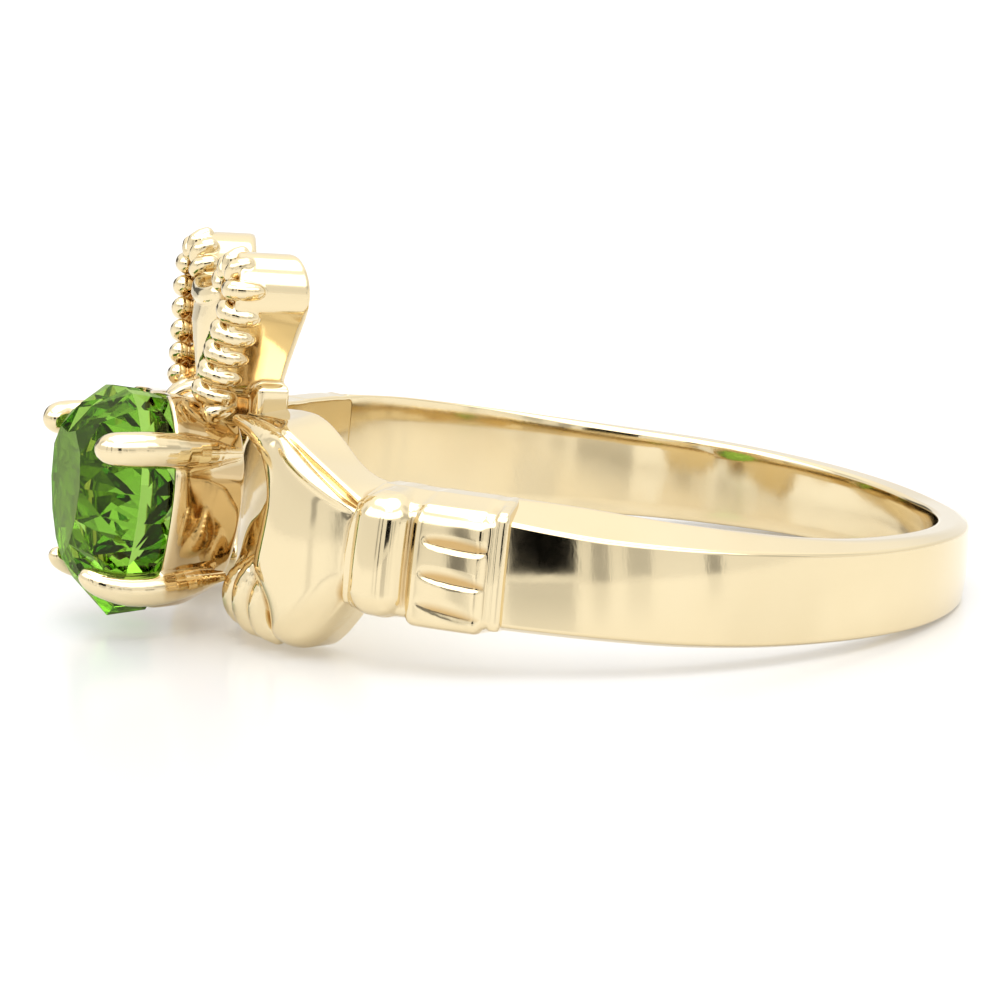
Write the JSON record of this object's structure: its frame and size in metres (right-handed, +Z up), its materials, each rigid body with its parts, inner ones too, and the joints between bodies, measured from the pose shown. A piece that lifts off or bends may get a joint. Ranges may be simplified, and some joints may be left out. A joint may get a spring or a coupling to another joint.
{
  "type": "claddagh ring",
  "caption": "Band ring whose two hands hold a crowned, prong-set heart stone in an open basket; lies on its side with a clear finger hole.",
  "frame": {"origin": "middle of the bounding box on the table that the ring lies on", "axes": "+Z up from the table, +Y from the set head towards the back of the band, +X across the ring; the finger hole's axis leans a little from +Z towards +Y"},
  "size_m": [0.0199, 0.023, 0.0093],
  "materials": {
    "gold": "polished pale yellow gold",
    "gem": "clear faceted green stone"
  },
  "bodies": {
    "root": {"ring_body": "gold", "stone": "gem"}
  },
  "joints": []
}
